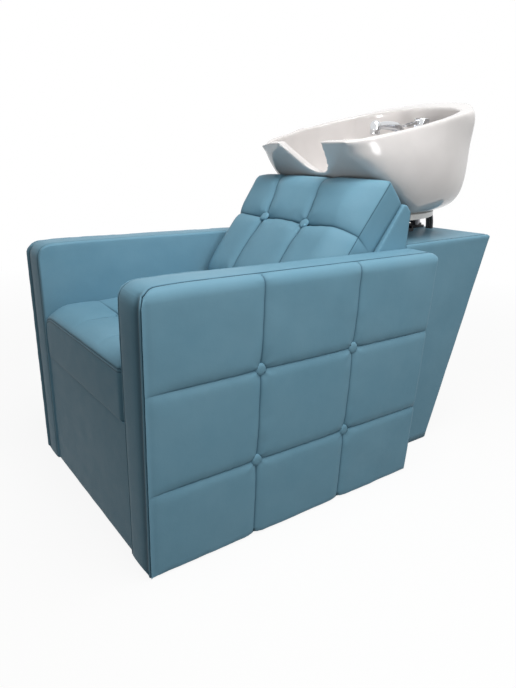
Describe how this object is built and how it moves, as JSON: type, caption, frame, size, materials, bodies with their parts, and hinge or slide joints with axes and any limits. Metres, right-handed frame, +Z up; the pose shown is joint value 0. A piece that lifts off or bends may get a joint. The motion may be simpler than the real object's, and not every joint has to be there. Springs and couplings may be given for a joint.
{
  "type": "hair washing bed",
  "caption": "Upholstered salon backwash seat with padded arms, a reclined back and a tilting ceramic basin with mixer tap and hand spray on a rear cabinet.",
  "frame": {"origin": "on the floor, under the middle of the unit's width and depth", "axes": "+Z up, the sitter faces -Y, the cabinet and the basin are at +Y, +X is across the seat"},
  "size_m": [0.687, 1.187, 0.9934],
  "materials": {
    "leatherette": "satin vinyl leatherette, fine grain",
    "button_cover": "satin vinyl leatherette over a pressed button",
    "carcass_wood": "plain sawn plywood",
    "rear_board": "laminated board, matt dark grey",
    "fastener_zinc": "zinc plated",
    "glide_plastic": "moulded, matt",
    "basin_ceramic": "white gloss glaze",
    "base_plastic": "moulded, satin gloss",
    "gasket_rubber": "matt",
    "bracket_paint": "black powder coat",
    "bush_brass": "turned",
    "tap_chrome": "polished",
    "waste_plastic": "moulded",
    "index_plastic": "moulded",
    "hose_rubber": "black braided sleeve"
  },
  "bodies": {
    "chair": {"arm_cover_left": "leatherette", "arm_cover_right": "leatherette", "arm_pad_left": "leatherette", "arm_pad_right": "leatherette", "front_panel_cover": "leatherette", "seat_cushion": "leatherette", "back_cushion": "leatherette", "back_shell": "leatherette", "cabinet_wrap": "leatherette", "arm_buttons_left": "button_cover", "arm_buttons_right": "button_cover", "seat_buttons": "button_cover", "back_buttons": "button_cover", "arm_carcass_left": "carcass_wood", "arm_carcass_right": "carcass_wood", "base_rails": "carcass_wood", "front_panel_board": "carcass_wood", "seat_deck": "carcass_wood", "seat_battens": "carcass_wood", "back_board": "carcass_wood", "cabinet_side_left": "carcass_wood", "cabinet_side_right": "carcass_wood", "cabinet_top_board": "carcass_wood", "cabinet_bulkhead": "carcass_wood", "panel_cleats": "carcass_wood", "cabinet_rail": "carcass_wood", "service_panel": "rear_board", "frame_bolts": "fastener_zinc", "panel_screws": "fastener_zinc", "bracket_bolts": "fastener_zinc", "pivot_pin": "fastener_zinc", "inlet_plate": "fastener_zinc", "glides": "glide_plastic", "stop_pads": "gasket_rubber", "hose_grommet": "gasket_rubber", "bracket_base": "bracket_paint", "stop_valves": "tap_chrome", "supply_hose_cold": "hose_rubber", "supply_hose_hot": "hose_rubber"},
    "basin": {"tilt_cradle": "bracket_paint", "pivot_bushes": "bush_brass", "cradle_bolts": "fastener_zinc", "basin_base": "base_plastic", "basin_gasket": "gasket_rubber", "basin": "basin_ceramic", "waste_flange": "tap_chrome", "waste_nut": "waste_plastic", "waste_tail": "waste_plastic", "mixer_rosette": "tap_chrome", "mixer_body": "tap_chrome", "mixer_index": "index_plastic", "mixer_nut": "bush_brass", "spray_holder": "tap_chrome", "spray_holder_nut": "bush_brass"},
    "mixer_cap": {"mixer_cap": "tap_chrome", "lever_pin": "fastener_zinc"},
    "mixer_lever": {"mixer_lever": "tap_chrome"},
    "hand_spray": {"hand_spray": "tap_chrome", "spray_face": "index_plastic"},
    "hair_strainer": {"hair_strainer": "tap_chrome"}
  },
  "joints": [
    {"name": "basin_tilt", "type": "hinge", "parent": "chair", "child": "basin", "pos_m": [0, 0.5285, 0.653], "axis": [-1, 0, 0], "range_deg": [0, 10], "deforming": ["supply_hose_cold", "supply_hose_hot"]},
    {"name": "mixer_swivel", "type": "hinge", "parent": "basin", "child": "mixer_cap", "pos_m": [0.05, 0.4615, 0.936], "axis": [0, 0, 1], "range_deg": [-30, 30]},
    {"name": "mixer_lift", "type": "hinge", "parent": "mixer_cap", "child": "mixer_lever", "pos_m": [0.05, 0.4615, 0.9364], "axis": [-1, 0, 0], "range_deg": [0, 25]},
    {"name": "spray_lift", "type": "slide", "parent": "basin", "child": "hand_spray", "axis": [0, 0, 1], "range_m": [0, 0.06]},
    {"name": "strainer_lift", "type": "slide", "parent": "basin", "child": "hair_strainer", "axis": [0, 0, 1], "range_m": [0, 0.04]}
  ]
}
